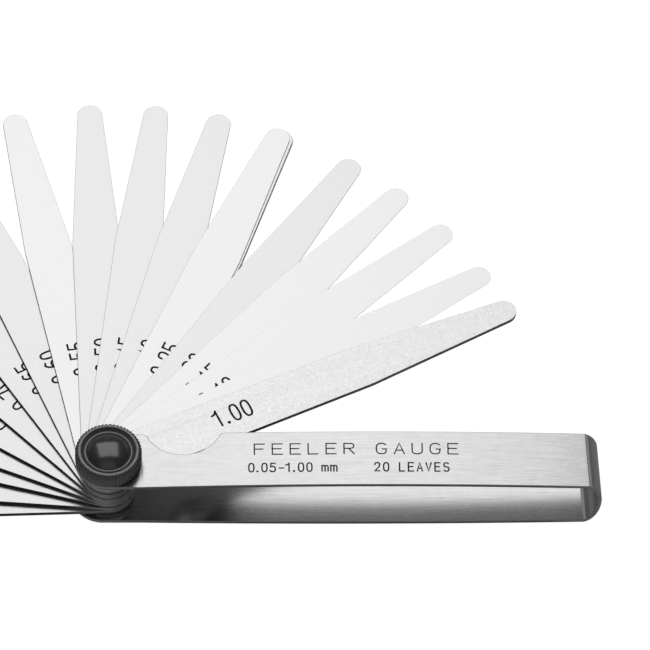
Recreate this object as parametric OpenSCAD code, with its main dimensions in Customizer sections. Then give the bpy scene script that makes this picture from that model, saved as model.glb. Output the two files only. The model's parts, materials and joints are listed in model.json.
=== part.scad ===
// Feeler gauge: twenty steel leaves on one pivot bolt, folding into a U-shaped steel case
// and clamped by a knurled lock nut. All sizes are in millimetres.
// Z runs up the pivot axis from the underside of the bolt head, and X runs along the case.

/* [Case] */
// Width of the strip that the case is bent from
case_w = 13.4; // [12.8:0.1:15]
// Thickness of the strip
strip_t = 0.8; // [0.6:0.05:0.9]
// Distance from the pivot axis to the outside of the bend
case_reach = 103.2; // [100:0.1:110]
// Rise of the upper plate at the middle of its arch
upper_bow = 1; // [0.2:0.1:2]
// Drop of the lower plate at the middle of its sag
lower_bow = 0.55; // [0.2:0.05:0.55]
// How far the lower plate's round end runs on past the upper one's
lower_overhang = 1.1; // [0:0.1:1.2]
// Radius of the thumb scallop in the upper plate
scallop_r = 8.4; // [7.5:0.1:10]
// Distance along the case from the pivot axis to the middle of the scallop
scallop_x = 15.7; // [15.5:0.1:30]
// Metal left between the case centre line and the deepest point of the scallop
scallop_y = 1.4; // [0.5:0.1:3]
// Radius that softens each end of the scallop
scallop_lip = 1.2; // [0.6:0.1:1.8]

/* [Leaves] */
// Distance from the pivot axis to the tip of every leaf
leaf_reach = 94.7; // [85:0.1:96]
// Radius of the round heel around the pivot
heel_r = 5.4; // [4.5:0.1:6]
// Half the leaf's width where the taper starts
shoulder_w = 5.05; // [4:0.05:5.3]
// Distance from the pivot axis to the start of the taper
shoulder_x = 59; // [45:1:65]
// Radius of the rounded tip
tip_r = 2.65; // [2:0.05:3.2]
// Free space left above and below each leaf
leaf_gap = 0.02; // [0.01:0.01:0.03]
// Where each leaf stands at rest, in degrees from the case, lowest leaf first
leaf_angles = [
    182.1, 175.7, 165.4, 157.5, 147.4, 134.9, 123.1, 112.9, 102.3, 92.3,
    83.5, 75.0, 66.2, 66.3, 66.7, 56.0, 48.1, 39.8, 31.4, 24.7
];

/* [Pivot] */
// Radius of the bolt's shank, and of its thread inside the nut
bolt_r = 2.5; // [2:0.1:2.6]
// Radial play of every hole on the shank
bolt_play = 0.05; // [0.03:0.01:0.08]
// Radius of the low bolt head under the case
head_r = 5.5; // [4.5:0.1:6]
// Height of the bolt head
head_h = 0.6; // [0.6:0.05:1.1]
// Thickness of the friction washer below the leaves
friction_washer_t = 0.88; // [0.3:0.02:1]
// Thickness of the washer under the nut
lock_washer_t = 0.4; // [0.4:0.05:0.8]

/* [Lock nut] */
// Radius over the knurl
knurl_r = 6.97; // [6.6:0.01:8]
// Number of ridges round the knurl
knurl_count = 54; // [40:2:60]
// Depth of the knurl
knurl_depth = 0.32; // [0.2:0.02:0.4]
// Whole height of the nut
nut_h = 3.65; // [3.3:0.05:4.5]
// Radius of the domed cap set in the nut
cap_r = 4.65; // [4.2:0.05:4.8]
// Rise of the cap's dome
cap_rise = 0.75; // [0.4:0.05:1.2]

/* [Hidden] */
$fn = 96;

// Leaf thicknesses in hundredths of a millimetre, lowest leaf first. The thickest leaf lies on top.
leaf_hundredths = [for (h = [95:-5:5]) h, 100];
leaf_count = len(leaf_hundredths);
function leaf_t(i) = leaf_hundredths[i] / 100;
function two_digits(n) = str(n < 10 ? "0" : "", n);
function leaf_name(i) =
    str("leaf_", floor(leaf_hundredths[i] / 100), "_", two_digits(leaf_hundredths[i] % 100));

hole_r = bolt_r + bolt_play;
half_w = case_w / 2;

// Heights of the stack on the pivot
function stack_below(i) = i == 0 ? 0 : stack_below(i - 1) + leaf_t(i - 1) + leaf_gap;
lower_z = head_h;
friction_z = lower_z + strip_t;
leaves_z = friction_z + friction_washer_t + leaf_gap;
upper_z = leaves_z + stack_below(leaf_count);
washer_z = upper_z + strip_t;
nut_z = washer_z + lock_washer_t;

// Centre line of the folded strip, seen from the side. Both plates are flat under the washers.
// The bend is a quarter ellipse at the top and a deeper one at the bottom.
flat_x = half_w + 0.2;
bend_x = case_reach - strip_t / 2;
upper_bend = [2.4, 4.8];
upper_end_x = bend_x - upper_bend[0];
lower_mid_z = lower_z + strip_t / 2;
upper_mid_z = upper_z + strip_t / 2;
lower_bend = [3.2, upper_mid_z - lower_mid_z - upper_bend[1]];
lower_end_x = bend_x - lower_bend[0];
bend_mid_z = lower_mid_z + lower_bend[1];
plate_steps = 24;
bend_steps = 14;

function arch(u) = 4 * u * (1 - u);
function plate_point(end_x, z, bow, u) = [flat_x + (end_x - flat_x) * u, z + bow * arch(u)];
lower_line = [
    for (k = [0:plate_steps - 1])
        plate_point(lower_end_x, lower_mid_z, -lower_bow, k / plate_steps)
];
lower_curve = [
    for (k = [0:bend_steps - 1])
        let (a = -90 + 90 * k / bend_steps)
        [lower_end_x + lower_bend[0] * cos(a), bend_mid_z + lower_bend[1] * sin(a)]
];
upper_curve = [
    for (k = [0:bend_steps - 1])
        let (a = 90 * k / bend_steps)
        [upper_end_x + upper_bend[0] * cos(a), bend_mid_z + upper_bend[1] * sin(a)]
];
upper_line = [
    for (k = [0:plate_steps])
        plate_point(upper_end_x, upper_mid_z, upper_bow, 1 - k / plate_steps)
];
strip_line = concat(
    [[-half_w - lower_overhang, lower_mid_z]], lower_line, lower_curve,
    upper_curve, upper_line, [[-half_w, upper_mid_z]]
);

// A line moved sideways by d: each point goes along the normal of its neighbours' chord.
function chord(line, k) = line[min(k + 1, len(line) - 1)] - line[max(k - 1, 0)];
function sideways(line, d) = [
    for (k = [0:len(line) - 1])
        let (c = chord(line, k))
        line[k] + d * [c[1], -c[0]] / norm(c)
];
function reversed(list) = [for (k = [len(list) - 1:-1:0]) list[k]];
function arc(centre, r, from, to, steps) = [
    for (k = [0:steps])
        let (a = from + (to - from) * k / steps)
        centre + r * [cos(a), sin(a)]
];

// Plan of the upper plate: a half-round end at the pivot and a thumb scallop in one long edge.
scallop_c = [scallop_x, scallop_y + scallop_r];
lip_y = half_w - scallop_lip;
lip_dx = sqrt(pow(scallop_r + scallop_lip, 2) - pow(scallop_c[1] - lip_y, 2));
lip_turn = acos((scallop_c[1] - lip_y) / (scallop_r + scallop_lip));
plan_end = case_reach + 1;
round_end = arc([0, 0], half_w, 90, 270, 48);
scallop_outline = concat(
    arc([scallop_x + lip_dx, lip_y], scallop_lip, 90, 90 + lip_turn, 8),
    arc(scallop_c, scallop_r, 270 + lip_turn, 270 - lip_turn, 32),
    arc([scallop_x - lip_dx, lip_y], scallop_lip, 90 - lip_turn, 90, 8)
);
upper_plan = concat(
    [[plan_end, -half_w], [plan_end, half_w]], scallop_outline, round_end
);
lower_plan = concat(
    [[plan_end, -half_w], [plan_end, half_w]],
    arc([-lower_overhang, 0], half_w, 90, 270, 48)
);

// Leaf outline, lying along X: round heel, straight flanks, taper tangent to the round tip.
tip_x = leaf_reach - tip_r;
taper_run = tip_x - shoulder_x;
taper_turn = atan(shoulder_w / taper_run)
    - asin(tip_r / norm([taper_run, shoulder_w]));
leaf_outline = concat(
    arc([0, 0], heel_r, 90, 270, 40),
    [[shoulder_x, -shoulder_w]],
    arc([tip_x, 0], tip_r, taper_turn - 90, 90 - taper_turn, 24),
    [[shoulder_x, shoulder_w]]
);

// Nut heights, measured from its underside
band_z = 0.2;
band_h = nut_h - band_z - 0.55;
rim_r = 6.4;
rim_w = 0.4;
dish_z = nut_h - 0.6;
ring_w = 0.3;
ring_lift = 0.12;
pocket_z = nut_h - 1.2;
cap_play = 0.02;
tip_room = 0.45;
tip_play = 0.15;
bolt_end_z = nut_z + pocket_z + tip_room - tip_play;
edge_break = 0.3;
neck_top_play = 0.05;

module case_strip() {
    color("silver")
    difference() {
        intersection() {
            rotate([90, 0, 0])
            linear_extrude(height = case_w + 2, center = true)
            polygon(concat(sideways(strip_line, strip_t / 2),
                reversed(sideways(strip_line, -strip_t / 2))));
            union() {
                translate([0, 0, bend_mid_z])
                linear_extrude(height = upper_z + 10)
                polygon(upper_plan);
                translate([0, 0, -1])
                linear_extrude(height = bend_mid_z + 1)
                polygon(lower_plan);
            }
        }
        translate([0, 0, upper_z - 1])
        cylinder(h = strip_t + 2, r = hole_r);
        translate([0, 0, lower_z + strip_t / 2])
        cube([2 * hole_r, 2 * hole_r, strip_t + 1], center = true);
    }
}

// Low head under the case, a square neck that keeps the bolt from turning, and a plain shank.
module pivot_bolt() {
    color("gainsboro")
    union() {
        rotate_extrude()
        polygon([
            [0, 0], [head_r - edge_break, 0], [head_r, edge_break], [head_r, head_h],
            [bolt_r, head_h], [bolt_r, bolt_end_z - edge_break],
            [bolt_r - edge_break, bolt_end_z], [0, bolt_end_z]
        ]);
        translate([-bolt_r, -bolt_r, head_h / 2])
        cube([2 * bolt_r, 2 * bolt_r, head_h / 2 + strip_t - neck_top_play]);
    }
}

module flat_washer(outer_r, thickness) {
    difference() {
        cylinder(h = thickness, r = outer_r);
        translate([0, 0, -1])
        cylinder(h = thickness + 2, r = hole_r);
    }
}

module friction_washer() {
    color("darkgray")
    translate([0, 0, friction_z])
    flat_washer(heel_r - 0.1, friction_washer_t);
}

module lock_washer() {
    color("dimgray")
    translate([0, 0, washer_z])
    flat_washer(half_w - 0.2, lock_washer_t);
}

module knurl_band(root_r) {
    linear_extrude(height = band_h)
    polygon([
        for (k = [0:2 * knurl_count - 1])
            let (a = 180 * k / knurl_count, r = k % 2 == 0 ? knurl_r : root_r)
            r * [cos(a), sin(a)]
    ]);
}

// Turned body with a dished top, a raised ring round the cap's pocket, and a knurled band.
module lock_nut() {
    root_r = knurl_r - knurl_depth;
    body_r = root_r - 0.1;
    color([0.15, 0.15, 0.15])
    translate([0, 0, nut_z])
    difference() {
        union() {
            rotate_extrude()
            polygon([
                [0, 0], [body_r - band_z, 0], [body_r, band_z], [body_r, band_z + band_h],
                [rim_r, nut_h], [rim_r - rim_w, nut_h],
                [rim_r - rim_w - 0.4, dish_z], [cap_r + ring_w + 0.1, dish_z],
                [cap_r + ring_w, dish_z + ring_lift], [0, dish_z + ring_lift]
            ]);
            translate([0, 0, band_z])
            knurl_band(root_r);
        }
        translate([0, 0, -1])
        cylinder(h = nut_h, r = hole_r);
        translate([0, 0, pocket_z])
        cylinder(h = nut_h, r = cap_r);
    }
}

// Domed disc pressed into the nut's pocket, hollowed below for the end of the bolt.
module nut_cap() {
    edge_r = cap_r - cap_play;
    edge_h = dish_z - pocket_z;
    dome_r = (edge_r * edge_r + cap_rise * cap_rise) / (2 * cap_rise);
    dome_turn = asin(edge_r / dome_r);
    color([0.05, 0.05, 0.05])
    translate([0, 0, nut_z + pocket_z])
    difference() {
        rotate_extrude()
        polygon(concat(
            [[0, 0], [edge_r, 0]],
            arc([0, edge_h + cap_rise - dome_r], dome_r, 90 - dome_turn, 90, 12)
        ));
        translate([0, 0, -1])
        cylinder(h = tip_room + 1, r = hole_r);
    }
}

module leaf(i) {
    color([0.9, 0.9, 0.91])
    translate([0, 0, leaves_z + stack_below(i)])
    rotate(leaf_angles[i])
    linear_extrude(height = leaf_t(i))
    difference() {
        polygon(leaf_outline);
        circle(r = hole_r);
    }
}

case_strip();
pivot_bolt();
friction_washer();
lock_washer();
lock_nut();
nut_cap();
for (i = [0:leaf_count - 1])
    leaf(i);
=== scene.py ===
"""Looks for the feeler gauge: a brushed case, ground leaves, a knurled black nut and the etched marks.

Lengths named in millimetres are turned into metres by MM. Z is the pivot axis and X runs along the case.
"""
import json
import math

import bmesh
import bpy
from mathutils import Matrix, Vector
from mathutils.geometry import tessellate_polygon


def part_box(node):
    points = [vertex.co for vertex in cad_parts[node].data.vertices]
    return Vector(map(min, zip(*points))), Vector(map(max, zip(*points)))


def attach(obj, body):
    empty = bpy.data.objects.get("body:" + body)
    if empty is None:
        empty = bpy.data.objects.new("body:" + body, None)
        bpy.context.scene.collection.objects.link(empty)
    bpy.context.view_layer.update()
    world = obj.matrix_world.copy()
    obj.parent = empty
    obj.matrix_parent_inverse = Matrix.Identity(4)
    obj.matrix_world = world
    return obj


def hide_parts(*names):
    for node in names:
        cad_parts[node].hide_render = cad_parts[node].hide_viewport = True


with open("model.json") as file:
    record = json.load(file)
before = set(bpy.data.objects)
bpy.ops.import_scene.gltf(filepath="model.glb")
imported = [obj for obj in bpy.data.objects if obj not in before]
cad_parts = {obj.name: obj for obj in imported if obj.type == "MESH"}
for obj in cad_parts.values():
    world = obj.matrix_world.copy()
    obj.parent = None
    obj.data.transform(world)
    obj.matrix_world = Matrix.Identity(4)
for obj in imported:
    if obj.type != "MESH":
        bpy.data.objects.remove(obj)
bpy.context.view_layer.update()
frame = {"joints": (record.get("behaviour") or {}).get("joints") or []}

MM = 0.001

# Camera, fitted to the perspective of the case and the leaves, with the roll held at CAMERA_ROLL
CAMERA_AZIMUTH = -2.53
CAMERA_ELEVATION = 55.46
CAMERA_ROLL = 2.0
CAMERA_DISTANCE = 2.1215
CAMERA_AIM = (0.04581, 0.03494, 0.0132)
CAMERA_LENS = 556.8
SENSOR_WIDTH = 36.0

# Case, in millimetres
STRIP_T = 0.8
UPPER_BOW = 1.0
LOWER_BOW = 0.55
FLAT_PAST_EDGE = 0.2
UPPER_BEND = (2.4, 4.8)
LOWER_BEND_X = 3.2
LOWER_OVERHANG = 1.1
SCALLOP_R = 8.4
SCALLOP_X = 15.7
SCALLOP_Y = 1.4
SCALLOP_LIP = 1.2
CASE_EDGE = 0.16
EDGE_STEPS = 4
EDGE_POINTS = 2 * EDGE_STEPS + 1
UPPER_CREASE = 68.0
LOWER_CREASE = 80.0
CREASE_W = 0.06
BEND_SKEW = 0.6
HOLE_R = 2.55

# Leaves, in millimetres
LEAF_REACH = 94.7
HEEL_R = 5.4
SHOULDER_W = 5.05
SHOULDER_X = 59.0
TIP_R = 2.65
LEAF_EDGE = 0.05
BRIGHT_LEAVES = ("leaf_0_55", "leaf_0_25", "leaf_0_15", "leaf_0_10", "leaf_0_05")
FINE_EDGE_LEAVES = ("leaf_0_35", "leaf_0_25", "leaf_0_20", "leaf_0_15", "leaf_0_10", "leaf_0_05")
# These leaves carry a deeper painted band of shade along the bottom of their sides, between each of them and
# the leaf under it
DEEP_PAINTED_SHADE_LEAVES = ("leaf_0_85", "leaf_0_65", "leaf_0_50", "leaf_0_30")

# Nut, in millimetres above its underside. CAP_RING goes round the cap: (out from the cap, above the dish)
KNURL_COUNT = 54
KNURL_DEPTH = 0.32
BAND_Z = 0.2
BAND_H = 2.9
RIM_R = 6.45
RIM_W = 0.65
RIM_NOTCH = 0.24
RIM_LIP = 0.08
DISH_DROP = 0.6
CAP_RING = ((0.42, 0.0), (0.36, 0.14), (0.14, 0.14), (0.02, 0.0))
CAP_R = 4.65
CAP_RISE = 0.75
CAP_HOLLOW = 0.45
POCKET_Z = 2.45

# Thread of the bolt
THREAD_PITCH = 0.8
THREAD_DEPTH = 0.42
THREAD_LENGTH = 3.0

# Etched numbers, in millimetres
DIGIT_W = 1.66
DIGIT_H = 3.95
DIGIT_STROKE = 0.46
POINT_STEP = 1.15
MARK_PROUD = 0.012
MARK_SUNK = 0.01

# Place of each leaf's number: (start, top, step from character to character)
NUMBER_PLACE = (25.7, 1.45, 2.47)
TOP_NUMBER_PLACE = (24.8, 2.5, 2.6)

# Etching on the upper plate: (text, start, baseline, character size, stroke, step)
CASE_LINES = (
    ("FEELER GAUGE", 30.5, 1.05, (2.1, 2.6), 0.28, 3.75),
    ("0.05-1.00 mm", 29.3, -3.3, (1.05, 2.1), 0.32, 1.75),
    ("20 LEAVES", 55.6, -3.3, (1.05, 2.1), 0.32, 1.85),
)

# Materials, with their lengths in metres. EVEN leaves a texture unstretched
NOISE_OFFSET = (0.1371, 0.6127, 0.2839)
EVEN = (1, 1, 1)
RELIEF = 0.00002
# The lower plate's painted shade, where the leaves and the upper plate shade it: centre, size and darkest
# factor
PAINTED_SHADE_PLACE = (0.0196, -0.0053, 0.001)
PAINTED_SHADE_SIZE = (0.0075, 0.0055, 0.002)
PAINTED_SHADE_DARKEST = 0.16
# Leaf sides: how far along X the heel's painted highlight and its lower roughness reach, then how softly the
# painted band of shade ends
HEEL_GLOSS_AND_HIGHLIGHT_X = 0.009
SHADE_BAND_BLUR = 0.00005

# What the object sees, as (place, tone) stops: the floor by X in metres, the sky by Z of the direction
# Behind the case, the floor's dim stretch near the pivot, up to X 0.024, is a painted shadow of the fan
FLOOR_BEHIND = ((0.0, 0.045), (0.024, 0.045), (0.034, 0.45), (0.100, 0.45), (0.108, 0.20))
FLOOR_IN_FRONT = ((0.0, 0.13), (0.001, 0.13), (0.0060, 0.022), (0.092, 0.03), (0.100, 0.16))
SKY_BEHIND = ((0.0, 0.03), (0.12, 0.08), (0.22, 0.40), (0.42, 0.40), (0.54, 0.14), (0.75, 0.18),
              (0.96, 0.18), (0.985, 0.32))
SKY_AROUND = ((0.0, 0.03), (0.15, 0.10), (0.25, 0.45), (0.58, 0.45), (0.68, 0.05), (0.95, 0.05),
              (0.985, 0.32))

# Softbox: azimuth and elevation in degrees, size in metres
SOFTBOX_AZIMUTH = -4.7
SOFTBOX_ELEVATION = 55.5
SOFTBOX_SIZE = (0.60, 0.62)
SOFTBOX_RADIANCE = 1.56


# ---------------------------------------------------------------- small helpers


def arc(cx, cy, r, start, end, steps):
    """Points on a circular arc, both ends included, angles in degrees."""
    turns = [math.radians(start + (end - start) * k / steps) for k in range(steps + 1)]
    return [(cx + r * math.cos(a), cy + r * math.sin(a)) for a in turns]


def finish_mesh(bm, name, materials, matrix=None, merge=1e-8):
    """Makes an object from bm with consistent outward normals and smooth, area-weighted shading."""
    bmesh.ops.remove_doubles(bm, verts=bm.verts, dist=merge)
    bmesh.ops.dissolve_degenerate(bm, edges=bm.edges, dist=merge)
    bmesh.ops.delete(bm, geom=[e for e in bm.edges if not e.link_faces], context="EDGES")
    bmesh.ops.delete(bm, geom=[v for v in bm.verts if not v.link_faces], context="VERTS")
    bmesh.ops.recalc_face_normals(bm, faces=bm.faces)
    mesh = bpy.data.meshes.new(name)
    bm.to_mesh(mesh)
    bm.free()
    mesh.shade_smooth()
    for material in materials:
        mesh.materials.append(material)
    obj = bpy.data.objects.new(name, mesh)
    bpy.context.scene.collection.objects.link(obj)
    if matrix is not None:
        obj.matrix_world = matrix
    weighted = obj.modifiers.new("even_shading", "WEIGHTED_NORMAL")
    weighted.weight = 100
    return obj


def loft(bm, rings, closed_along=False, material_of=None):
    """Quads between neighbouring rings of equal length; each ring is a closed loop of points.

    material_of gives the material's index from the place of a quad round its ring.
    """
    verts = [[bm.verts.new(Vector(p) * MM) for p in ring] for ring in rings]
    count = len(rings[0])
    spans = range(len(rings)) if closed_along else range(len(rings) - 1)
    for i in spans:
        after = (i + 1) % len(rings)
        for j in range(count):
            k = (j + 1) % count
            face = bm.faces.new((verts[i][j], verts[i][k], verts[after][k], verts[after][j]))
            if material_of is not None:
                face.material_index = material_of(j)
    return verts


def revolve(name, profile, steps, materials):
    """Turns a closed profile of (radius, height) about Z."""
    bm = bmesh.new()
    turns = [2 * math.pi * k / steps for k in range(steps)]
    loft(bm, [[(r * math.cos(a), r * math.sin(a), z) for r, z in profile] for a in turns], closed_along=True)
    return finish_mesh(bm, name, materials)


def rounded(profile, radius, steps=3):
    """A closed profile with every corner cut back by up to radius along an arc-like curve."""
    out = []
    count = len(profile)
    for k, point in enumerate(profile):
        p = Vector(point)
        before, after = Vector(profile[k - 1]), Vector(profile[(k + 1) % count])
        d0, d1 = before - p, after - p
        if min(d0.length, d1.length) < 1e-6 or abs(p.x) < 1e-6:
            out.append(tuple(p))
            continue
        cut = min(radius, d0.length * 0.4, d1.length * 0.4)
        a, b = p + d0.normalized() * cut, p + d1.normalized() * cut
        for i in range(steps + 1):
            t = i / steps
            out.append(tuple(a * (1 - t) ** 2 + p * 2 * t * (1 - t) + b * t ** 2))
    return out


# ---------------------------------------------------------------- materials


def new_material(name):
    material = bpy.data.materials.new(name)
    material.use_nodes = True
    nodes = material.node_tree.nodes
    return material, nodes, material.node_tree.links, nodes["Principled BSDF"]


def local_coords(nodes, links, scale):
    """The piece's own coordinates, stretched by scale per metre and moved off the noise's own grid."""
    coords = nodes.new("ShaderNodeTexCoord")
    mapping = nodes.new("ShaderNodeMapping")
    mapping.inputs["Location"].default_value = NOISE_OFFSET
    mapping.inputs["Scale"].default_value = scale
    links.new(coords.outputs["Object"], mapping.inputs["Vector"])
    return mapping.outputs["Vector"]


def noise(nodes, links, vector, scale, detail=3.0, rough=0.55):
    node = nodes.new("ShaderNodeTexNoise")
    node.inputs["Scale"].default_value = scale
    node.inputs["Detail"].default_value = detail
    node.inputs["Roughness"].default_value = rough
    links.new(vector, node.inputs["Vector"])
    return node.outputs["Fac"]


def ramp(nodes, links, value, low, high, from_min=0.3, from_max=0.7):
    node = nodes.new("ShaderNodeMapRange")
    node.inputs["From Min"].default_value = from_min
    node.inputs["From Max"].default_value = from_max
    node.inputs["To Min"].default_value = low
    node.inputs["To Max"].default_value = high
    links.new(value, node.inputs["Value"])
    return node.outputs["Result"]


def blend_values(nodes, links, a, b, operation="ADD"):
    node = nodes.new("ShaderNodeMath")
    node.operation = operation
    links.new(a, node.inputs[0])
    links.new(b, node.inputs[1])
    return node.outputs[0]


def grey(nodes, links, value):
    node = nodes.new("ShaderNodeCombineColor")
    for channel in ("Red", "Green", "Blue"):
        links.new(value, node.inputs[channel])
    return node.outputs["Color"]


def tone_ramp(nodes, links, value, stops):
    """Greys that blend from one (place, tone) stop to the next."""
    node = nodes.new("ShaderNodeValToRGB")
    elements = node.color_ramp.elements
    elements[0].position, elements[1].position = stops[0][0], stops[-1][0]
    for place, _ in stops[1:-1]:
        elements.new(place)
    for element, (_, tone) in zip(elements, stops):
        element.color = (tone, tone, tone, 1)
    links.new(value, node.inputs["Fac"])
    return node.outputs["Color"]


def bump(nodes, links, height, strength, distance):
    node = nodes.new("ShaderNodeBump")
    node.inputs["Strength"].default_value = strength
    node.inputs["Distance"].default_value = distance
    links.new(height, node.inputs["Height"])
    return node.outputs["Normal"]


def lower_plate_painted_shade(nodes, links):
    """Painted shade: a soft dark patch on the lower plate's near side, where the leaves and the upper plate
    shade it: 1 outside it.
    """
    coords = nodes.new("ShaderNodeTexCoord")
    mapping = nodes.new("ShaderNodeMapping")
    mapping.vector_type = "TEXTURE"
    mapping.inputs["Location"].default_value = PAINTED_SHADE_PLACE
    mapping.inputs["Scale"].default_value = PAINTED_SHADE_SIZE
    links.new(coords.outputs["Object"], mapping.inputs["Vector"])
    gradient = nodes.new("ShaderNodeTexGradient")
    gradient.gradient_type = "SPHERICAL"
    links.new(mapping.outputs["Vector"], gradient.inputs["Vector"])
    return ramp(nodes, links, gradient.outputs["Fac"], 1.0, PAINTED_SHADE_DARKEST, 0.0, 0.7)


def steel(name, tone, gloss, lines, mottle, relief, detail=4.0, colour_factor=None):
    """Ground or brushed steel. tone and gloss are (middle, spread) of the colour and the roughness.

    lines holds the pitch, per metre, of the fine lines along and across the piece's own X; mottle is the
    pitch of a soft, blotchy variation. film, if given, makes a factor for the colour.
    """
    material, nodes, links, shader = new_material(name)
    shader.inputs["Metallic"].default_value = 1.0
    along, across = lines
    brushing = noise(nodes, links, local_coords(nodes, links, (along, across, across)), 1.0, detail, 0.6)
    spots = noise(nodes, links, local_coords(nodes, links, EVEN), mottle, detail, 0.6)
    brushing_tone = ramp(nodes, links, brushing, -tone[1], tone[1])
    spots_tone = ramp(nodes, links, spots, tone[0] - tone[1], tone[0] + tone[1])
    colour = blend_values(nodes, links, brushing_tone, spots_tone)
    if colour_factor:
        colour = blend_values(nodes, links, colour, colour_factor(nodes, links), "MULTIPLY")
    links.new(grey(nodes, links, colour), shader.inputs["Base Color"])
    dull = ramp(nodes, links, brushing, gloss[0] - gloss[1], gloss[0] + gloss[1])
    links.new(dull, shader.inputs["Roughness"])
    both = blend_values(nodes, links, brushing, spots)
    links.new(bump(nodes, links, both, relief, RELIEF), shader.inputs["Normal"])
    return material


def black_metal(name, base, roughness, metallic):
    """Black oxide with fine grain; base and roughness wander a little."""
    material, nodes, links, shader = new_material(name)
    shader.inputs["Metallic"].default_value = metallic
    grain = noise(nodes, links, local_coords(nodes, links, EVEN), 2600.0, 5.0, 0.65)
    links.new(grey(nodes, links, ramp(nodes, links, grain, base * 0.7, base * 1.4)),
              shader.inputs["Base Color"])
    links.new(ramp(nodes, links, grain, roughness - 0.08, roughness + 0.1), shader.inputs["Roughness"])
    links.new(bump(nodes, links, grain, 0.35, RELIEF), shader.inputs["Normal"])
    return material


def gloss_black():
    """Moulded glossy black with the faintest orange peel."""
    material, nodes, links, shader = new_material("glossy_black")
    shader.inputs["Coat Weight"].default_value = 0.85
    shader.inputs["Coat Roughness"].default_value = 0.10
    peel = noise(nodes, links, local_coords(nodes, links, EVEN), 700.0, 4.0, 0.6)
    links.new(grey(nodes, links, ramp(nodes, links, peel, 0.036, 0.047)), shader.inputs["Base Color"])
    links.new(ramp(nodes, links, peel, 0.10, 0.22), shader.inputs["Roughness"])
    peeled = bump(nodes, links, peel, 0.8, RELIEF)
    links.new(peeled, shader.inputs["Normal"])
    links.new(peeled, shader.inputs["Coat Normal"])
    return material


def sheared_edge_and_painted_light(name, shade_band_top, flank):
    """The side of a leaf: dull and dark along the flanks, partly its sheared finish and partly painted
    shade.

    Round the heel, a painted highlight stands for the lit edges of the heels. It sits above a painted band
    of shade between leaves. The first argument is the top of that band, in metres above the leaf's
    underside; flank is the tone of the flanks.
    """
    material, nodes, links, shader = new_material(name)
    shader.inputs["Metallic"].default_value = 1.0
    coords = nodes.new("ShaderNodeTexCoord")
    split = nodes.new("ShaderNodeSeparateXYZ")
    links.new(coords.outputs["Object"], split.inputs[0])
    # The heel, above the painted band of shade, gets a painted highlight
    heel = ramp(nodes, links, split.outputs["X"], 1.0, 0.0, 0.0, HEEL_GLOSS_AND_HIGHLIGHT_X)
    lit_above_shade_band = ramp(nodes, links, split.outputs["Z"], 0.0, 0.50, shade_band_top - SHADE_BAND_BLUR, shade_band_top + SHADE_BAND_BLUR)
    lit = blend_values(nodes, links, heel, lit_above_shade_band, "MULTIPLY")
    speckle = noise(nodes, links, local_coords(nodes, links, EVEN), 2600.0)
    grain = ramp(nodes, links, speckle, flank - 0.055, flank + 0.055)
    links.new(grey(nodes, links, blend_values(nodes, links, lit, grain)), shader.inputs["Base Color"])
    links.new(ramp(nodes, links, heel, 0.44, 0.27, 0.0, 1.0), shader.inputs["Roughness"])
    links.new(bump(nodes, links, speckle, 0.05, RELIEF), shader.inputs["Normal"])
    return material


def etched():
    """Dark, matt etching with slightly uneven depth of colour."""
    material, nodes, links, shader = new_material("etched_mark")
    wear = noise(nodes, links, local_coords(nodes, links, EVEN), 1800.0, 3.0, 0.6)
    links.new(grey(nodes, links, ramp(nodes, links, wear, 0.012, 0.035)), shader.inputs["Base Color"])
    links.new(ramp(nodes, links, wear, 0.5, 0.75), shader.inputs["Roughness"])
    return material


LEAF_STEEL = steel("ground_leaf_steel", (0.635, 0.004), (0.31, 0.006), (1500, 2600), 900, 0.01, 2.0)
BRIGHT_STEEL = steel("bright_leaf_steel", (0.675, 0.003), (0.31, 0.006), (1500, 2600), 900, 0.01, 2.0)
SANDED_STEEL = steel("sanded_leaf_steel", (0.644, 0.045), (0.31, 0.05), (2400, 2400), 1600, 0.02, 3.0)
# Leaf sides: a painted heel highlight over a painted band of shade, which is shallow, deep or almost none
EDGE_STEEL = sheared_edge_and_painted_light("sheared_edge_steel", 0.00012, 0.085)
DEEP_PAINTED_SHADE_EDGE_STEEL = sheared_edge_and_painted_light("deep_painted_shade_edge_steel", 0.00050, 0.085)
FINE_EDGE_STEEL = sheared_edge_and_painted_light("fine_edge_steel", 0.00002, 0.33)
# The case steel's colour carries a painted shade on the lower plate's near side
CASE_STEEL = steel("brushed_case_steel", (0.505, 0.016), (0.24, 0.06), (90, 5000), 500, 0.06, colour_factor=lower_plate_painted_shade)
CASE_EDGE_STEEL = steel("rolled_case_edge", (0.47, 0.05), (0.41, 0.06), (200, 2000), 1500, 0.3)
BOLT_STEEL = steel("turned_bolt_steel", (0.42, 0.05), (0.33, 0.06), (300, 1500), 900, 0.3)
OILED_STEEL = steel("oiled_washer_steel", (0.20, 0.04), (0.38, 0.06), (600, 1500), 900, 0.3)
BLACK_OXIDE = black_metal("black_oxide", 0.058, 0.42, 0.0)
WORN_OXIDE = black_metal("worn_black_oxide", 0.36, 0.36, 0.8)
GLOSS_BLACK = gloss_black()
ETCHED = etched()


# ---------------------------------------------------------------- the case

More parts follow.
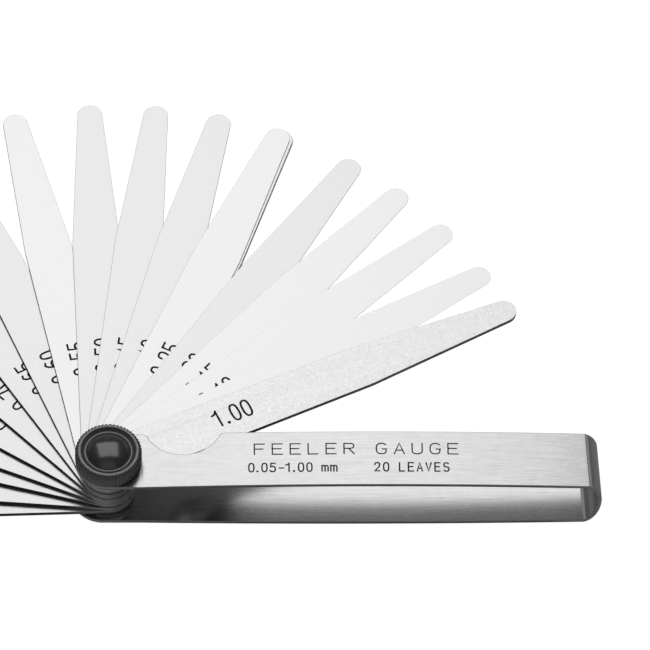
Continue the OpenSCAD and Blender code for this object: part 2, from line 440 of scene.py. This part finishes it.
case_lo, case_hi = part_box("case_strip")
HALF_W = (case_hi.y - case_lo.y) / MM / 2
CASE_REACH = case_hi.x / MM
LOWER_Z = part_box("friction_washer")[0].z / MM - STRIP_T
UPPER_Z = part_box("lock_washer")[0].z / MM - STRIP_T
LOWER_MID = LOWER_Z + STRIP_T / 2
UPPER_MID = UPPER_Z + STRIP_T / 2
FLAT_X = HALF_W + FLAT_PAST_EDGE
BEND_X = CASE_REACH - STRIP_T / 2
UPPER_END = BEND_X - UPPER_BEND[0]
LOWER_END = BEND_X - LOWER_BEND_X
LOWER_BEND = (LOWER_BEND_X, UPPER_MID - LOWER_MID - UPPER_BEND[1])
BEND_MID = LOWER_MID + LOWER_BEND[1]
SKEW_RUN = 6.0
SKEW_START = LOWER_END / SKEW_RUN - 1


def plate_z(x, end_x, mid, bow):
    """Height of a plate's middle surface; it arches between the washer and the bend."""
    if x <= FLAT_X:
        return mid
    u = (x - FLAT_X) / (end_x - FLAT_X)
    return mid + bow * 4 * u * (1 - u)


def upper_z(x):
    return plate_z(x, UPPER_END, UPPER_MID, UPPER_BOW)


def lower_z(x):
    return plate_z(x, LOWER_END, LOWER_MID, -LOWER_BOW)


def bend_point(size, angle):
    """A point on one half of the bend. It is part of an ellipse, so it meets its plate in a soft crease."""
    crease = math.radians(UPPER_CREASE if angle >= 0 else LOWER_CREASE)
    a = math.radians(angle)
    run, rise = size
    x = BEND_X - run * (1 - math.cos(a)) / (1 - math.cos(crease))
    return x, BEND_MID + rise * math.sin(a) / math.sin(crease)


def scallop_edge(x):
    """Half width of the upper plate's far edge, with the thumb scallop and its two soft lips."""
    centre_y = SCALLOP_Y + SCALLOP_R
    lip_y = HALF_W - SCALLOP_LIP
    reach = SCALLOP_R + SCALLOP_LIP
    lip_dx = math.sqrt(reach ** 2 - (centre_y - lip_y) ** 2)
    touch_dx = lip_dx * SCALLOP_R / reach
    dx = abs(x - SCALLOP_X)
    if dx >= lip_dx:
        return HALF_W
    if dx >= touch_dx:
        return lip_y + math.sqrt(max(SCALLOP_LIP ** 2 - (dx - lip_dx) ** 2, 0))
    return centre_y - math.sqrt(SCALLOP_R ** 2 - dx ** 2)


def case_stations():
    """Stations along the folded strip, lower end first: (x, z, far half width, near half width)."""
    end_steps = 28
    bend_steps = 28
    plate_step = 1.0
    scallop_step = 0.1
    near_crease = [0.99, 1.0]
    ends = [180 - 90 * k / end_steps for k in range(end_steps)]
    round_x = [HALF_W * math.cos(math.radians(a)) for a in ends]
    round_w = [HALF_W * math.sin(math.radians(a)) for a in ends]
    out = [(x - LOWER_OVERHANG, LOWER_MID, w, w) for x, w in zip(round_x, round_w)]
    count = int(LOWER_END / plate_step)
    for k in range(count):
        x = (LOWER_END + LOWER_OVERHANG) * k / count - LOWER_OVERHANG
        out.append((x, lower_z(x), HALF_W, HALF_W))
    x = LOWER_END - CREASE_W
    out.append((x, lower_z(x), HALF_W, HALF_W))
    bend = [k / bend_steps for k in range(bend_steps)]
    for t in near_crease[::-1] + bend[:0:-1]:
        out.append((*bend_point(LOWER_BEND, -LOWER_CREASE * t), HALF_W, HALF_W))
    for t in bend + near_crease:
        out.append((*bend_point(UPPER_BEND, UPPER_CREASE * t), HALF_W, HALF_W))
    x = UPPER_END - CREASE_W
    scallop_reach = SCALLOP_R + 2 * SCALLOP_LIP
    while x > 1e-6:
        out.append((x, upper_z(x), scallop_edge(x), HALF_W))
        x -= scallop_step if abs(x - SCALLOP_X) < scallop_reach else plate_step
    out += [(x, UPPER_MID, w, w) for x, w in zip(round_x[::-1], round_w[::-1])]
    return out


def case_rings(stations):
    """Cross-sections of the strip, whose long edges are rounded square to the strip's own outline."""
    turns = [math.radians(90 * k / EDGE_STEPS) for k in range(EDGE_STEPS + 1)]
    corner = [(CASE_EDGE * (1 - math.cos(t)), STRIP_T / 2 - CASE_EDGE * (1 - math.sin(t))) for t in turns]
    edge = [(inset, -height) for inset, height in reversed(corner)] + corner
    last = len(stations) - 1
    rings = []
    for i, (x, z, *widths) in enumerate(stations):
        x0, z0, *widths0 = stations[max(i - 1, 0)]
        x1, z1, *widths1 = stations[min(i + 1, last)]
        run = math.hypot(x1 - x0, z1 - z0)
        tx, tz = (x1 - x0) / run, (z1 - z0) / run
        ring = []
        for side, width, width0, width1 in zip((1, -1), widths, widths0, widths1):
            slant = math.hypot(width1 - width0, run)
            out_s, out_y = (width0 - width1) / slant, run / slant
            if i in (0, last):
                out_s, out_y = (-1.0 if i == 0 else 1.0), 0.0
            for inset, height in edge[::side]:
                s = -inset * out_s
                y = side * max(width - inset * out_y, 0.0)
                skew = BEND_SKEW * (y / HALF_W + 1) / 2 * min(max(x / SKEW_RUN - SKEW_START, 0.0), 1.0)
                ring.append((x + tx * s - tz * height - skew, y, z + tz * s + tx * height))
        rings.append(ring)
    return rings


def make_case():
    """The folded strip, brushed on both of its faces and rolled along its edges."""

    def shade(j):
        return 0 if j % (EDGE_POINTS + 1) == EDGE_POINTS else 1

    bm = bmesh.new()
    loft(bm, case_rings(case_stations()), material_of=shade)
    return finish_mesh(bm, "case_strip_brushed", [CASE_STEEL, CASE_EDGE_STEEL], merge=2e-7)


def cut(obj, cutters):
    """Takes each cutter out of obj for good, and removes the cutters."""
    for cutter in cutters:
        modifier = obj.modifiers.new("cut", "BOOLEAN")
        modifier.operation = "DIFFERENCE"
        modifier.solver = "EXACT"
        modifier.object = cutter
        obj.modifiers.move(len(obj.modifiers) - 1, 0)
    graph = bpy.context.evaluated_depsgraph_get()
    weighted = obj.modifiers[-1]
    weighted.show_viewport = False
    bpy.context.view_layer.update()
    mesh = bpy.data.meshes.new_from_object(obj.evaluated_get(graph))
    for modifier in [m for m in obj.modifiers if m.type == "BOOLEAN"]:
        obj.modifiers.remove(modifier)
    obj.data = mesh
    weighted.show_viewport = True
    for cutter in cutters:
        bpy.data.objects.remove(cutter)


def drill(radius, low, high, sides, turn=0.0):
    """A prism along the pivot axis to cut a hole with."""
    bm = bmesh.new()
    rings = []
    for z in (low, high):
        rings.append([(radius * math.cos(turn + 2 * math.pi * k / sides),
                       radius * math.sin(turn + 2 * math.pi * k / sides), z) for k in range(sides)])
    verts = loft(bm, rings)
    for ring in verts:
        bm.faces.new(ring)
    return finish_mesh(bm, "drill", [])


# ---------------------------------------------------------------- the leaves

LEAF_FACES = {"leaf_1_00": SANDED_STEEL, **dict.fromkeys(BRIGHT_LEAVES, BRIGHT_STEEL)}
LEAF_SIDES = {
    **dict.fromkeys(FINE_EDGE_LEAVES, FINE_EDGE_STEEL),
    **dict.fromkeys(DEEP_PAINTED_SHADE_LEAVES, DEEP_PAINTED_SHADE_EDGE_STEEL),
}


def leaf_outline(inset=0.0):
    """Heel arc, straight flank, taper and round tip, counter-clockwise; inset shrinks it evenly."""
    tip_x = LEAF_REACH - TIP_R
    run = tip_x - SHOULDER_X
    turn = math.degrees(math.atan(SHOULDER_W / run) - math.asin(TIP_R / math.hypot(run, SHOULDER_W)))
    shoulder = (SHOULDER_X, SHOULDER_W - inset)
    tip = arc(tip_x, 0, TIP_R - inset, turn - 90, 90 - turn, 24)
    heel = arc(0, 0, HEEL_R - inset, 90, 270, 40)
    return heel + [(shoulder[0], -shoulder[1])] + tip + [shoulder]


def make_leaf(node, angle):
    """One leaf: flat faces, edges broken by a small round, and the bore for the pivot bolt."""
    low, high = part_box(node)
    thick = (high.z - low.z) / MM
    edge = min(LEAF_EDGE, thick * 0.3)
    bore = arc(0, 0, HOLE_R, 0, 360, 48)[:-1]
    levels = [(edge, 0.0), (edge * 0.3, edge * 0.3), (0.0, edge),
              (0.0, thick - edge), (edge * 0.3, thick - edge * 0.3), (edge, thick)]
    bm = bmesh.new()
    rings = [[(x, y, z) for x, y in leaf_outline(inset)] for inset, z in levels]
    walls = loft(bm, rings, material_of=lambda j: 1)
    holes = loft(bm, [[(x, y, z) for x, y in bore] for z in (0.0, thick)], material_of=lambda j: 1)
    for outer, inner in ((walls[0], holes[0]), (walls[-1], holes[-1])):
        loops = [[v.co for v in outer], [v.co for v in inner]]
        verts = list(outer) + list(inner)
        for triangle in tessellate_polygon(loops):
            bm.faces.new([verts[k] for k in triangle])
    matrix = Matrix.Translation((0, 0, low.z)) @ Matrix.Rotation(math.radians(angle), 4, "Z")
    face = LEAF_FACES.get(node, LEAF_STEEL)
    side = LEAF_SIDES.get(node, EDGE_STEEL)
    leaf = finish_mesh(bm, node + "_blade", [face, side], matrix)
    return leaf, matrix, thick


# ---------------------------------------------------------------- etched marks

OVAL = 2.6


def oval(cx, cy, rx, ry, start=0, end=360, steps=28):
    """Points on a rounded box-like oval, angles in degrees."""
    out = []
    for k in range(steps + 1):
        a = math.radians(start + (end - start) * k / steps)
        c, s = math.cos(a), math.sin(a)
        out.append((cx + rx * math.copysign(abs(c) ** (2 / OVAL), c),
                    cy + ry * math.copysign(abs(s) ** (2 / OVAL), s)))
    return out


# Strokes of each character in a box one wide and one high. A stroke that ends where it starts is closed.
GLYPHS = {
    "0": [oval(0.5, 0.5, 0.5, 0.5)],
    "1": [[(0.55, 0), (0.55, 1)], [(-0.12, 0.77), (0.2, 0.8), (0.55, 0.93)]],
    "2": [oval(0.5, 0.74, 0.48, 0.26, 180, 0, 14) + [(0.85, 0.52), (0.02, 0.02), (1, 0.02)]],
    "3": [oval(0.45, 0.75, 0.47, 0.25, 160, -90, 14), oval(0.45, 0.26, 0.53, 0.26, 90, -160, 16)],
    "4": [[(0.72, 0), (0.72, 1), (0, 0.3), (1.08, 0.3)]],
    "5": [[(0.95, 1), (0.14, 1), (0.06, 0.56)] + oval(0.45, 0.31, 0.53, 0.31, 110, -160, 18)],
    "6": [oval(0.5, 0.31, 0.5, 0.31), [(0, 0.31), (0.02, 0.6), (0.2, 0.86), (0.5, 0.99), (0.88, 0.93)]],
    "7": [[(0, 1), (1, 1), (0.35, 0)]],
    "8": [oval(0.5, 0.76, 0.42, 0.24), oval(0.5, 0.26, 0.5, 0.26)],
    "9": [oval(0.5, 0.69, 0.5, 0.31), [(1, 0.69), (0.98, 0.4), (0.8, 0.14), (0.5, 0.01), (0.12, 0.07)]],
    "-": [[(0.1, 0.42), (0.95, 0.42)]],
    "A": [[(0, 0), (0.5, 1), (1, 0)], [(0.17, 0.34), (0.83, 0.34)]],
    "E": [[(1, 1), (0, 1), (0, 0), (1, 0)], [(0, 0.53), (0.85, 0.53)]],
    "F": [[(1, 1), (0, 1), (0, 0)], [(0, 0.52), (0.85, 0.52)]],
    "G": [oval(0.52, 0.5, 0.52, 0.5, 42, 318, 22) + [(1.0, 0.46), (0.6, 0.46)]],
    "L": [[(0, 1), (0, 0), (0.95, 0)]],
    "R": [[(0, 0), (0, 1), (0.5, 1)] + oval(0.5, 0.76, 0.48, 0.24, 80, -90, 12) + [(0.02, 0.52)],
          [(0.5, 0.5), (1, 0)]],
    "S": [oval(0.5, 0.76, 0.46, 0.24, 30, 250, 14) + oval(0.5, 0.25, 0.5, 0.25, 70, -150, 14)],
    "U": [[(0, 1)] + oval(0.5, 0.32, 0.5, 0.32, 180, 360, 16) + [(1, 1)]],
    "V": [[(0, 1), (0.5, 0), (1, 1)]],
    "m": [[(0, 0), (0, 0.7)], oval(0.3, 0.46, 0.3, 0.22, 180, 0, 10) + [(0.6, 0)],
          oval(0.9, 0.46, 0.3, 0.22, 180, 0, 10) + [(1.2, 0)]],
}
WIDE = {"m": 1.05, "1": 0.9, "-": 0.9}


def ribbon(bm, points, width, place):
    """A closed strip of even width along a stroke, with rounded ends and mitred corners."""
    points = [Vector(p) for p in points]
    closed = len(points) > 3 and (points[0] - points[-1]).length < 1e-6
    if closed:
        points = points[:-1]
    count = len(points)
    half = width / 2
    sections = []
    for i, p in enumerate(points):
        before = points[i - 1] if closed or i else None
        after = points[(i + 1) % count] if closed or i < count - 1 else None
        d0 = (p - before).normalized() if before is not None else None
        d1 = (after - p).normalized() if after is not None else None
        d0, d1 = d0 or d1, d1 or d0
        mean = (d0 + d1).normalized()
        side = Vector((-mean.y, mean.x)) * half * min(1 / max(mean.dot(d0), 0.2), 1.7)
        if before is None:
            for back, share in ((0.95, 0.3), (0.6, 0.8)):
                sections.append((p - d1 * half * back, side * share))
        sections.append((p, side))
        if after is None:
            for ahead, share in ((0.6, 0.8), (0.95, 0.3)):
                sections.append((p + d0 * half * ahead, side * share))
    rings = []
    for p, side in sections:
        left, right = p + side, p - side
        rings.append([place(left, -MARK_SUNK), place(left, MARK_PROUD),
                      place(right, MARK_PROUD), place(right, -MARK_SUNK)])
    verts = loft(bm, rings, closed_along=closed)
    if not closed:
        bm.faces.new(verts[0])
        bm.faces.new(verts[-1])


def write(bm, text, start, baseline, size, stroke, step, place):
    """Writes text as ribbons. size is a character's width and height; place puts a point on the metal."""
    width, height = size
    x = start
    for character in text:
        if character == " ":
            x += step * 0.8
            continue
        if character == ".":
            ring = arc(0, 0, stroke * 0.8, 0, 360, 14)[:-1]
            centre = Vector((x - step + width + POINT_STEP * width / DIGIT_W, baseline + stroke * 0.35))
            rings = [[place(centre + Vector(p), h) for p in ring] for h in (-MARK_SUNK, MARK_PROUD)]
            verts = loft(bm, rings)
            bm.faces.new(verts[0])
            bm.faces.new(verts[1])
            x += POINT_STEP * width / DIGIT_W + 0.25 * width
            continue
        for path in GLYPHS[character]:
            ribbon(bm, [(x + u * width, baseline + v * height) for u, v in path], stroke, place)
        x += step * WIDE.get(character, 1.0)
    return x


def make_number(node, matrix, thick):
    """The leaf's own thickness in millimetres, etched on its upper face near the pivot."""
    text = node.removeprefix("leaf_").replace("_", ".")
    start, top, step = TOP_NUMBER_PLACE if text == "1.00" else NUMBER_PLACE
    bm = bmesh.new()
    write(bm, text, start, top - DIGIT_H, (DIGIT_W, DIGIT_H), DIGIT_STROKE, step,
          lambda p, h: (p.x, p.y, thick + h))
    return finish_mesh(bm, node + "_number", [ETCHED], matrix)


def make_case_marks():
    """Two plain lines on the upper plate: what the tool is, its range and its leaf count."""
    bm = bmesh.new()

    def on_plate(p, h):
        return (p.x, p.y, upper_z(p.x) + STRIP_T / 2 + h)

    for text, start, baseline, size, stroke, step in CASE_LINES:
        write(bm, text, start, baseline, size, stroke, step, on_plate)
    return finish_mesh(bm, "case_marks", [ETCHED])


# ---------------------------------------------------------------- pivot hardware


def make_nut():
    """Turned nut with a straight knurl whose grooves run up into the worn rim, and a worn inner ring."""
    low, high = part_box("lock_nut")
    base, height = low.z / MM, (high.z - low.z) / MM
    knurl_r = (high.x - low.x) / MM / 2
    dish = height - DISH_DROP
    band_top = BAND_Z + BAND_H
    rim_z = height - RIM_LIP
    chamfer = [(knurl_r + (RIM_R - knurl_r) * t, band_top + (rim_z - band_top) * t) for t in (0.0, 0.5)]
    outer = [(knurl_r - 0.25, 0.0, KNURL_DEPTH), (knurl_r, BAND_Z * 0.5, KNURL_DEPTH)]
    outer += [(r, z, KNURL_DEPTH) for r, z in chamfer]
    outer += [(RIM_R, rim_z, RIM_NOTCH), (RIM_R - 0.1, height, 0.0)]
    inner = [(RIM_R - RIM_W, height), (RIM_R - RIM_W - 0.3, dish)]
    inner += [(CAP_R + out, dish + rise) for out, rise in CAP_RING]
    inner += [(CAP_R, POCKET_Z), (HOLE_R, POCKET_Z), (HOLE_R, 0)]
    profile = outer + [(r, z, 0.0) for r, z in inner]
    rim = len(outer)
    worn = (rim - 2, rim - 1, rim + 2, rim + 3, rim + 4)

    def groove(a):
        return 1 - abs(math.cos(a * KNURL_COUNT / 2)) ** 0.6

    bm = bmesh.new()
    steps = KNURL_COUNT * 8
    turns = [2 * math.pi * k / steps for k in range(steps)]
    rings = [[((r - depth * groove(a)) * math.cos(a), (r - depth * groove(a)) * math.sin(a), z + base)
              for r, z, depth in profile] for a in turns]
    loft(bm, rings, closed_along=True, material_of=lambda j: 1 if j in worn else 0)
    return finish_mesh(bm, "lock_nut_knurled", [BLACK_OXIDE, WORN_OXIDE])


def make_cap():
    """Domed disc in the nut's pocket, with a fine groove just inside its edge."""
    low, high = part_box("nut_cap")
    base, top = low.z / MM, high.z / MM
    edge_r = CAP_R - 0.02
    edge_h = top - base - CAP_RISE
    dome_r = (edge_r ** 2 + CAP_RISE ** 2) / (2 * CAP_RISE)
    dome_steps = 24
    groove_from, groove_to, groove_depth = 0.88, 0.94, 0.05

    def dome(r):
        return base + edge_h + CAP_RISE - dome_r + math.sqrt(dome_r ** 2 - r ** 2)

    radii = [edge_r * k / dome_steps for k in range(dome_steps, 0, -1)]
    profile = [(0.0, base + CAP_HOLLOW), (HOLE_R, base + CAP_HOLLOW), (HOLE_R, base), (edge_r, base),
               (edge_r, base + edge_h - 0.05)]
    for r in radii:
        groove = groove_depth if groove_from < r / edge_r < groove_to else 0.0
        profile.append((r * 0.997, dome(r) - groove))
    profile.append((0.0, dome(0.0)))
    return revolve("nut_cap_domed", profile, 96, [GLOSS_BLACK])


def make_bolt():
    """Bolt with a low chamfered head, a round shank and a true helical thread at the end.

    The square neck of the CAD bolt, which the head and the friction washer hide, is left out here.
    """
    low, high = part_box("pivot_bolt")
    top = high.z / MM
    head_r = (high.x - low.x) / MM / 2
    head_h = LOWER_Z
    shank_r = HOLE_R - 0.05
    thread_low = top - THREAD_LENGTH
    steps = 64
    thread_steps = 48
    chamfer = 0.3
    edge = 0.05
    levels = [(0.0, 0), (head_r - chamfer, 0), (head_r, chamfer), (head_r, head_h - edge),
              (head_r - edge, head_h), (shank_r, head_h)]
    point = ((shank_r - 0.35, top - 0.02), (shank_r - 0.5, top), (0.0, top))
    thread_run = top - chamfer - thread_low
    thread = [thread_low + thread_run * k / thread_steps for k in range(thread_steps + 1)]
    bm = bmesh.new()
    rings = []
    for k in range(steps):
        a = 2 * math.pi * k / steps
        ring = [(r * math.cos(a), r * math.sin(a), z) for r, z in levels]
        for z in thread:
            phase = (z / THREAD_PITCH - a / (2 * math.pi)) % 1.0
            depth = THREAD_DEPTH * min(1.0, 2.2 * (0.5 - abs(phase - 0.5)))
            fade = min(1.0, (z - thread_low) / chamfer)
            r = shank_r - depth * fade
            ring.append((r * math.cos(a), r * math.sin(a), z))
        ring += [(r * math.cos(a), r * math.sin(a), z) for r, z in point]
        rings.append(ring)
    loft(bm, rings, closed_along=True)
    return finish_mesh(bm, "pivot_bolt_turned", [BOLT_STEEL])


def make_washer(node, name, material):
    low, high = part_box(node)
    outer = (high.x - low.x) / MM / 2
    profile = [(HOLE_R, low.z / MM), (outer, low.z / MM), (outer, high.z / MM), (HOLE_R, high.z / MM)]
    return revolve(name, rounded(profile, 0.08), 72, [material])


# ---------------------------------------------------------------- studio


def make_camera():
    data = bpy.data.cameras.new("camera")
    data.lens = CAMERA_LENS
    data.sensor_width = SENSOR_WIDTH
    data.clip_end = 50.0
    camera = bpy.data.objects.new("camera", data)
    bpy.context.scene.collection.objects.link(camera)
    a, e, roll = (math.radians(v) for v in (CAMERA_AZIMUTH, CAMERA_ELEVATION, CAMERA_ROLL))
    back = Vector((math.sin(a) * math.cos(e), -math.cos(a) * math.cos(e), math.sin(e)))
    right = Vector((math.cos(a), math.sin(a), 0))
    up = back.cross(right)
    turned_right = right * math.cos(roll) + up * math.sin(roll)
    turned_up = up * math.cos(roll) - right * math.sin(roll)
    matrix = Matrix((turned_right, turned_up, back)).transposed().to_4x4()
    matrix.translation = Vector(CAMERA_AIM) + back * CAMERA_DISTANCE
    camera.matrix_world = matrix
    bpy.context.scene.camera = camera


def make_floor():
    """A pale floor. Metal sees it bright behind the case, darker by the pivot, where the dimness is a
    painted shadow of the fan, and dark in front of it.
    """
    bpy.ops.mesh.primitive_plane_add(size=8.0, location=(0, 0, 0))
    floor = bpy.context.object
    floor.name = "floor"
    material, nodes, links, shader = new_material("pale_floor")
    shader.inputs["Base Color"].default_value = (0.30, 0.30, 0.30, 1)
    shader.inputs["Roughness"].default_value = 0.9
    shader.inputs["Specular IOR Level"].default_value = 0.1
    shader.inputs["Emission Color"].default_value = (1, 1, 1, 1)
    shader.inputs["Emission Strength"].default_value = 0.97
    coords = nodes.new("ShaderNodeTexCoord")
    split = nodes.new("ShaderNodeSeparateXYZ")
    links.new(coords.outputs["Object"], split.inputs[0])
    # Behind the case: a bright stretch, with a painted shadow of the fan near the pivot
    behind_with_painted_shadow = tone_ramp(nodes, links, split.outputs["X"], FLOOR_BEHIND)
    front = tone_ramp(nodes, links, split.outputs["X"], FLOOR_IN_FRONT)
    shade = nodes.new("ShaderNodeMix")
    shade.data_type = "RGBA"
    links.new(ramp(nodes, links, split.outputs["Y"], 0.0, 1.0, 0.0, 0.01), shade.inputs["Factor"])
    links.new(front, shade.inputs["A"])
    links.new(behind_with_painted_shadow, shade.inputs["B"])
    reflected = nodes.new("ShaderNodeEmission")
    links.new(shade.outputs["Result"], reflected.inputs["Color"])
    path = nodes.new("ShaderNodeLightPath")
    mix = nodes.new("ShaderNodeMixShader")
    links.new(path.outputs["Is Glossy Ray"], mix.inputs["Fac"])
    links.new(shader.outputs["BSDF"], mix.inputs[1])
    links.new(reflected.outputs["Emission"], mix.inputs[2])
    links.new(mix.outputs["Shader"], nodes["Material Output"].inputs["Surface"])
    floor.data.materials.append(material)


def make_world():
    """White to the eye. The object sees a bright band low in the sky, dim above it and dark at the horizon.

    The sky behind the fan, which the steel mirrors to the camera, has tones of its own.
    """
    world = bpy.data.worlds.new("studio")
    bpy.context.scene.world = world
    world.use_nodes = True
    nodes, links = world.node_tree.nodes, world.node_tree.links
    coords = nodes.new("ShaderNodeTexCoord")
    split = nodes.new("ShaderNodeSeparateXYZ")
    links.new(coords.outputs["Generated"], split.inputs[0])
    tone = tone_ramp(nodes, links, split.outputs["Z"], SKY_BEHIND)
    side_tone = tone_ramp(nodes, links, split.outputs["Z"], SKY_AROUND)
    around = nodes.new("ShaderNodeMix")
    around.data_type = "RGBA"
    aside = nodes.new("ShaderNodeMath")
    aside.operation = "ABSOLUTE"
    links.new(split.outputs["X"], aside.inputs[0])
    factor = blend_values(nodes, links, ramp(nodes, links, split.outputs["Y"], 1.0, 0.0, 0.25, 0.45),
                          ramp(nodes, links, aside.outputs[0], 0.0, 1.0, 0.30, 0.42), "MAXIMUM")
    links.new(factor, around.inputs["Factor"])
    links.new(tone, around.inputs["A"])
    links.new(side_tone, around.inputs["B"])
    soft, plain = nodes["Background"], nodes.new("ShaderNodeBackground")
    links.new(around.outputs["Result"], soft.inputs["Color"])
    plain.inputs["Color"].default_value = (1, 1, 1, 1)
    path = nodes.new("ShaderNodeLightPath")
    mix = nodes.new("ShaderNodeMixShader")
    links.new(path.outputs["Is Camera Ray"], mix.inputs["Fac"])
    links.new(soft.outputs["Background"], mix.inputs[1])
    links.new(plain.outputs["Background"], mix.inputs[2])
    links.new(mix.outputs["Shader"], nodes["World Output"].inputs["Surface"])


def make_softbox(name, azimuth, elevation, size, radiance, distance=1.2):
    """A rectangular light that faces the gauge. Azimuth 0 is behind the fan, as seen from the camera."""
    a, e = math.radians(azimuth), math.radians(elevation)
    place = Vector((math.sin(a) * math.cos(e), math.cos(a) * math.cos(e), math.sin(e))) * distance
    data = bpy.data.lights.new(name, "AREA")
    data.shape = "RECTANGLE"
    data.size, data.size_y = size
    data.energy = radiance * math.pi * size[0] * size[1]
    light = bpy.data.objects.new(name, data)
    bpy.context.scene.collection.objects.link(light)
    light.location = place + Vector(CAMERA_AIM)
    light.rotation_mode = "QUATERNION"
    light.rotation_quaternion = place.to_track_quat("Z", "Y")


# ---------------------------------------------------------------- assembly

make_camera()

case = make_case()
round_hole = drill(HOLE_R, UPPER_Z - 1, UPPER_Z + STRIP_T + 1, 64)
square_hole = drill(HOLE_R * math.sqrt(2), LOWER_Z - 1, LOWER_Z + STRIP_T + 1, 4, math.pi / 4)
cut(case, [round_hole, square_hole])
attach(case, "case")
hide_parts("case_strip")

marks = make_case_marks()
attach(marks, "case")

for joint in frame["joints"]:
    node = joint["child"]
    if not node.startswith("leaf_"):
        continue
    leaf, matrix, thick = make_leaf(node, -joint["range_deg"][0])
    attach(leaf, node)
    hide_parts(node)
    number = make_number(node, matrix, thick)
    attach(number, node)

for piece, body, node, slot in (
    (make_bolt(), "case", "pivot_bolt", "bolt_steel"),
    (make_washer("friction_washer", "friction_washer_turned", OILED_STEEL), "case", "friction_washer",
     "bolt_steel"),
    (make_washer("lock_washer", "lock_washer_turned", BLACK_OXIDE), "washer", "lock_washer", "black_oxide"),
    (make_nut(), "nut", "lock_nut", "black_oxide"),
    (make_cap(), "nut", "nut_cap", "cap_gloss"),
):
    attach(piece, body)
    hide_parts(node)

make_floor()
make_world()
make_softbox("window_softbox", SOFTBOX_AZIMUTH, SOFTBOX_ELEVATION, SOFTBOX_SIZE, SOFTBOX_RADIANCE)
bpy.context.scene.view_settings.view_transform = "Standard"
